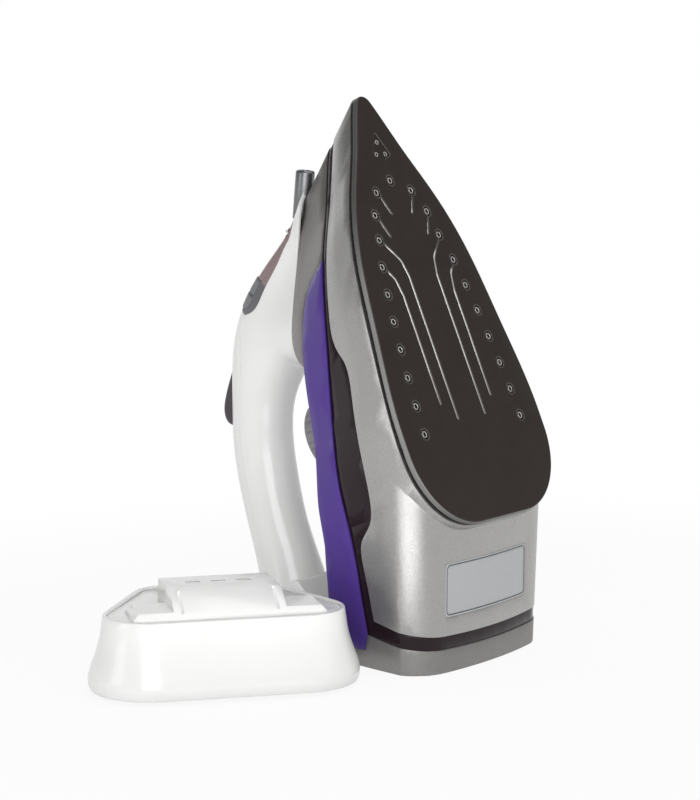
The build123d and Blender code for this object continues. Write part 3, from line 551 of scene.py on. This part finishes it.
def gripRibs():
    surface = surfaceOf("steam_lever")
    parts = [crossRib(surface, (y, ribs["above"]), (0, -1), ribs["leverHalf"]) for y in ribs["leverPlaces"]]
    place("lever_ribs", joined("lever_ribs", parts, ironMatrix), "steam_lever", "lever_plastic")
    for node in ("spray_button", "steam_button"):
        surface = surfaceOf(node)
        parts = []
        for run in ribs[node]:
            start = [crest["start"][i] + run * crest["along"][i] + ribs["away"] * crest["out"][i]
                     for i in (0, 1)]
            parts.append(crossRib(surface, start, [-v for v in crest["out"]], ribs["buttonHalf"]))
        place(node + "_ribs", joined(node + "_ribs", parts, ironMatrix), node, "button_grey")


# A thin raised rim round the blank rating plate, given in the standing pose.
plateRim = {"width": 64.6, "height": 23.6, "shift": -3.5, "base": 27.7, "corner": 2.2, "thick": 0.3,
            "steps": 12, "shortest": 4.0, "front": -100.0}


def plateFrame():
    surface = surfaceOf("rating_plate")
    w, h = plateRim["width"] / 2, plateRim["height"] / 2
    middle = plateRim["base"] + h
    corners = rounded([(-w, -h, 0), (w, -h, 0), (w, h, 0), (-w, h, 0)], plateRim["corner"], closed=True)
    path = []
    for i, corner in enumerate(corners):
        after = corners[(i + 1) % len(corners)]
        steps = plateRim["steps"] if (after - corner).length > plateRim["shortest"] else 1
        path += [corner.lerp(after, k / steps) for k in range(steps)]
    points = []
    for p in path:
        start = Vector((p.x + plateRim["shift"], plateRim["front"], middle + p.y)) * mm
        spot = surface.ray_cast(start, Vector((0, 1, 0)))[0]
        points.append(ironInverse @ spot)
    mesh = joined("plate_rim", [bead(points, plateRim["thick"], closed=True)], ironMatrix)
    place("plate_rim", mesh, "iron", "plate_film", materials["nozzle_silver"])


soleSealAndShade()
dialFace()
gripRibs()
plateFrame()
print("controls detailed")

camera = {"spot": (-0.94146, -0.64665, 0.27968), "turn": 53.0, "dip": 7.77, "lens": 108.0, "sensor": 36.0,
          "near": 0.01, "far": 50.0}
lens = bpy.data.cameras.new("camera")
lens.lens, lens.sensor_width = camera["lens"], camera["sensor"]
lens.clip_start, lens.clip_end = camera["near"], camera["far"]
eye = bpy.data.objects.new("camera", lens)
eye.location = camera["spot"]
eye.rotation_euler = (math.radians(90 - camera["dip"]), 0, -math.radians(camera["turn"]))
scene.collection.objects.link(eye)
scene.camera = eye

lamps = {
    "card": {"spot": (-0.27, -0.165, 0.004), "size": 0.25, "power": 0.5, "aim": (-0.27, -0.165, 1.0)},
    "front": {"spot": (-1.3, -0.85, 0.5), "size": 0.9, "power": 9.6},
    "left": {"spot": (-1.2, 0.6, 0.35), "size": 0.5, "power": 1.5},
    "right": {"spot": (0.2, -1.5, 0.9), "size": 1.0, "power": 1.5},
    "top": {"spot": (0.25, -0.45, 1.5), "size": 1.4, "power": 7.5},
    "back": {"spot": (0.7, 1.2, 0.8), "size": 1.2, "power": 2.0},
}
aim = Vector((0, 0.04, 0.12))
for name, lamp in lamps.items():
    light = bpy.data.lights.new("lamp " + name, "AREA")
    light.size, light.energy = lamp["size"], lamp["power"]
    holder = bpy.data.objects.new("lamp " + name, light)
    holder.location = lamp["spot"]
    look = Vector(lamp.get("aim", aim)) - Vector(lamp["spot"])
    holder.rotation_euler = look.to_track_quat("-Z", "Y").to_euler()
    holder.visible_camera = False
    scene.collection.objects.link(holder)

room = {"ambient": 0.46, "ceiling": 0.18, "ceilingStart": -0.02, "ceilingEnd": 0.3, "floor": "#eeeeee",
        "floorGlow": 0.9, "floorSize": 12.0, "floorDrop": 0.0002, "fadeStart": 0.25, "fadeEnd": 0.5}
world = bpy.data.worlds.new("studio")
scene.world = world
world.use_nodes = True
sky = world.node_tree
sky.nodes.clear()


def seenRays(tree):
    # One for the rays that look at the backdrop: straight from the camera, off a gloss, or through glass.
    rays = addNode(tree, "ShaderNodeLightPath").outputs
    glossy = addNode(tree, "ShaderNodeMath", links={0: rays["Is Camera Ray"], 1: rays["Is Glossy Ray"]},
                     operation="ADD")
    return addNode(tree, "ShaderNodeMath", links={0: glossy.outputs["Value"], 1: rays["Is Transmission Ray"]},
                   operation="ADD", use_clamp=True).outputs["Value"]


# A gloss sees the white sweep up to a little over the horizon and the dimmer ceiling above it.
skyRays = addNode(sky, "ShaderNodeLightPath").outputs
heading = addNode(sky, "ShaderNodeTexCoord").outputs["Generated"]
upward = addNode(sky, "ShaderNodeSeparateXYZ", links={"Vector": heading})
ceiling = addNode(sky, "ShaderNodeMapRange", {"From Min": room["ceilingStart"], "From Max": room["ceilingEnd"],
                                              "To Min": 1.0, "To Max": room["ceiling"]},
                  {"Value": upward.outputs["Z"]})
shown = addNode(sky, "ShaderNodeMix", {"B": 1.0},
                {"Factor": skyRays["Is Camera Ray"], "A": ceiling.outputs["Result"]})
glow = addNode(sky, "ShaderNodeMix", {"A": room["ambient"]},
               {"Factor": seenRays(sky), "B": shown.outputs["Result"]})
backdrop = addNode(sky, "ShaderNodeBackground", {"Color": (1, 1, 1, 1)}, {"Strength": glow.outputs["Result"]})
addNode(sky, "ShaderNodeOutputWorld", links={"Surface": backdrop.outputs["Background"]})


def floorSheet():
    sheet = bmesh.new()
    half = room["floorSize"] / 2
    square = ((-1, -1), (1, -1), (1, 1), (-1, 1))
    corners = [sheet.verts.new((x * half, y * half, -room["floorDrop"])) for x, y in square]
    sheet.faces.new(corners)
    mesh = bpy.data.meshes.new("floor")
    sheet.to_mesh(mesh)
    material, tree, output, spot = startMaterial("Paper backdrop matt")
    away = addNode(tree, "ShaderNodeVectorMath", links={0: spot}, operation="LENGTH")
    pure = addNode(tree, "ShaderNodeMapRange", {"From Min": room["fadeStart"], "From Max": room["fadeEnd"],
                                                "To Min": room["floorGlow"], "To Max": 1.0},
                   {"Value": away.outputs["Value"]}, interpolation_type="SMOOTHSTEP")
    share = addNode(tree, "ShaderNodeMath", links={0: seenRays(tree), 1: pure.outputs["Result"]},
                    operation="MULTIPLY")
    matt = addNode(tree, "ShaderNodeBsdfDiffuse", {"Color": linear(room["floor"])})
    white = addNode(tree, "ShaderNodeEmission", {"Color": (1, 1, 1, 1), "Strength": 1.0})
    blend = addNode(tree, "ShaderNodeMixShader", links={0: share.outputs["Value"], 1: matt.outputs["BSDF"],
                                                        2: white.outputs["Emission"]})
    tree.links.new(blend.outputs["Shader"], output.inputs["Surface"])
    mesh.materials.append(material)
    floor = bpy.data.objects.new("floor", mesh)
    scene.collection.objects.link(floor)


floorSheet()
print("studio set")
